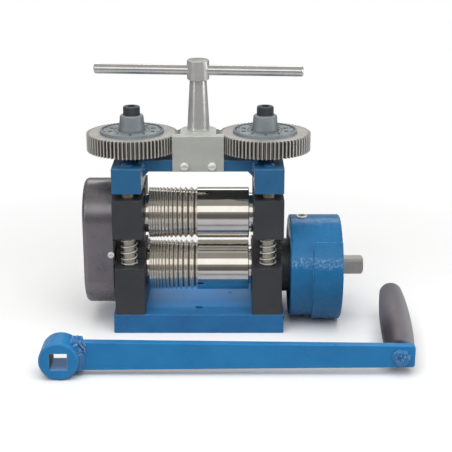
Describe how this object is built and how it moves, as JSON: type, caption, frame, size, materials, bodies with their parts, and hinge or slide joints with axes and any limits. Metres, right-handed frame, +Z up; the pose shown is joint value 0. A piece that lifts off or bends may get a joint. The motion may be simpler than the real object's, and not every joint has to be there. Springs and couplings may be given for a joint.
{
  "type": "rolling mill",
  "caption": "Hand cranked bench rolling mill with a grooved and flat pair of geared rolls, screw adjustment and a loose crank.",
  "frame": {"origin": "centre of the underside of the base, on the bench", "axes": "+X along the rolls towards the drive side, +Y to the rear along the feed, +Z up"},
  "size_m": [0.3507, 0.2121, 0.2663],
  "materials": {
    "blue_enamel": "gloss blue enamel, slightly orange peeled",
    "black_oxide": "black oxide",
    "zinc_bolt": "bright zinc",
    "spring_steel": "bright drawn wire",
    "bronze": "bearing bronze",
    "hardened_steel": "ground",
    "polished_roll": "mirror ground and polished",
    "gear_steel": "machined",
    "dial_grey": "grey cast, satin",
    "grey_paint": "dark grey satin paint",
    "plate_steel": "zinc plated sheet",
    "chrome": "bright chrome",
    "drive_steel": "dull machined",
    "grip_plastic": "dark grey moulded"
  },
  "bodies": {
    "frame": {"base": "blue_enamel", "top_yoke": "blue_enamel", "tie_studs": "zinc_bolt", "chock_screws": "black_oxide", "lower_chock_left": "black_oxide", "lower_chock_right": "black_oxide", "lower_bushes": "bronze", "lift_spring_front_left": "spring_steel", "lift_spring_front_right": "spring_steel", "lift_spring_rear_left": "spring_steel", "lift_spring_rear_right": "spring_steel", "cover_plate": "plate_steel", "plate_screws": "black_oxide", "gear_cover": "grey_paint", "cover_screws": "zinc_bolt", "reduction_housing": "blue_enamel", "housing_screws": "black_oxide", "oil_plug": "zinc_bolt", "end_cover": "blue_enamel", "end_cover_screws": "black_oxide", "input_bush": "bronze", "ring_gear": "hardened_steel", "spindle_bush": "bronze", "handle_bracket": "plate_steel", "bracket_screws": "zinc_bolt"},
    "upper_carriage": {"upper_chock_left": "black_oxide", "upper_chock_right": "black_oxide", "upper_bushes": "bronze", "thrust_pads": "hardened_steel"},
    "upper_roll_set": {"upper_roll": "polished_roll", "upper_timing_gear": "hardened_steel", "upper_gear_screw": "zinc_bolt"},
    "lower_roll_set": {"lower_roll": "polished_roll", "lower_timing_gear": "hardened_steel", "lower_gear_screw": "zinc_bolt", "planet_carrier": "hardened_steel", "planet_pins": "hardened_steel"},
    "input_set": {"input_shaft": "drive_steel", "sun_gear": "hardened_steel"},
    "planet_1": {"planet_gear_1": "hardened_steel"},
    "planet_2": {"planet_gear_2": "hardened_steel"},
    "planet_3": {"planet_gear_3": "hardened_steel"},
    "left_screw_set": {"pressure_screw_left": "black_oxide", "adjusting_gear_left": "gear_steel", "dial_left": "dial_grey", "cap_screw_left": "black_oxide"},
    "right_screw_set": {"pressure_screw_right": "black_oxide", "adjusting_gear_right": "gear_steel", "dial_right": "dial_grey", "cap_screw_right": "black_oxide"},
    "top_handle": {"handle_spindle": "chrome", "handle_bar": "chrome", "drive_pinion": "hardened_steel"},
    "crank": {"crank_boss": "blue_enamel", "crank_arm": "blue_enamel", "crank_welds": "blue_enamel", "grip_spindle": "drive_steel"},
    "grip": {"crank_grip": "grip_plastic"}
  },
  "joints": [
    {"name": "top_handle_turn", "type": "hinge", "parent": "frame", "child": "top_handle", "pos_m": [0, 0, 0.2], "axis": [0, 0, 1], "range_deg": [-720, 1764]},
    {"name": "upper_roll_lift", "type": "slide", "parent": "frame", "child": "upper_carriage", "axis": [0, 0, 1], "range_m": [-0.0049, 0.002], "deforming": ["lift_spring_front_left", "lift_spring_front_right", "lift_spring_rear_left", "lift_spring_rear_right"]},
    {"name": "left_screw_turn", "type": "hinge", "parent": "upper_carriage", "child": "left_screw_set", "pos_m": [-0.06563, 0, 0.17], "axis": [0, 0, 1], "range_deg": [-882.1, 360.1]},
    {"name": "right_screw_turn", "type": "hinge", "parent": "upper_carriage", "child": "right_screw_set", "pos_m": [0.06563, 0, 0.17], "axis": [0, 0, 1], "range_deg": [-882.1, 360.1]},
    {"name": "lower_roll_turn", "type": "hinge", "parent": "frame", "child": "lower_roll_set", "pos_m": [0, 0, 0.0555], "axis": [1, 0, 0], "continuous": true},
    {"name": "upper_roll_turn", "type": "hinge", "parent": "upper_carriage", "child": "upper_roll_set", "pos_m": [0, 0, 0.1115], "axis": [1, 0, 0], "continuous": true},
    {"name": "input_shaft_turn", "type": "hinge", "parent": "frame", "child": "input_set", "pos_m": [0.12, 0, 0.0555], "axis": [1, 0, 0], "continuous": true},
    {"name": "planet_1_turn", "type": "hinge", "parent": "lower_roll_set", "child": "planet_1", "pos_m": [0.113, 0, 0.0795], "axis": [1, 0, 0], "continuous": true},
    {"name": "planet_2_turn", "type": "hinge", "parent": "lower_roll_set", "child": "planet_2", "pos_m": [0.113, -0.02078, 0.0435], "axis": [1, 0, 0], "continuous": true},
    {"name": "planet_3_turn", "type": "hinge", "parent": "lower_roll_set", "child": "planet_3", "pos_m": [0.113, 0.02078, 0.0435], "axis": [1, 0, 0], "continuous": true},
    {"name": "crank_lift", "type": "slide", "parent": "frame", "child": "crank", "axis": [0, 0, 1], "range_m": [0, 0.2]},
    {"name": "grip_turn", "type": "hinge", "parent": "crank", "child": "grip", "pos_m": [0.1876, -0.1384, 0.0187], "axis": [0.0627, 0.9961, 0.0628], "continuous": true}
  ],
  "couplings": [
    {"joint": "upper_roll_lift", "follows": "top_handle_turn", "m_per_rad": -0.00015915},
    {"joint": "left_screw_turn", "follows": "top_handle_turn", "ratio": -0.5},
    {"joint": "right_screw_turn", "follows": "top_handle_turn", "ratio": -0.5},
    {"joint": "upper_roll_turn", "follows": "lower_roll_turn", "ratio": -1},
    {"joint": "input_shaft_turn", "follows": "lower_roll_turn", "ratio": 5},
    {"joint": "planet_1_turn", "follows": "lower_roll_turn", "ratio": -2.6667},
    {"joint": "planet_2_turn", "follows": "lower_roll_turn", "ratio": -2.6667},
    {"joint": "planet_3_turn", "follows": "lower_roll_turn", "ratio": -2.6667}
  ]
}
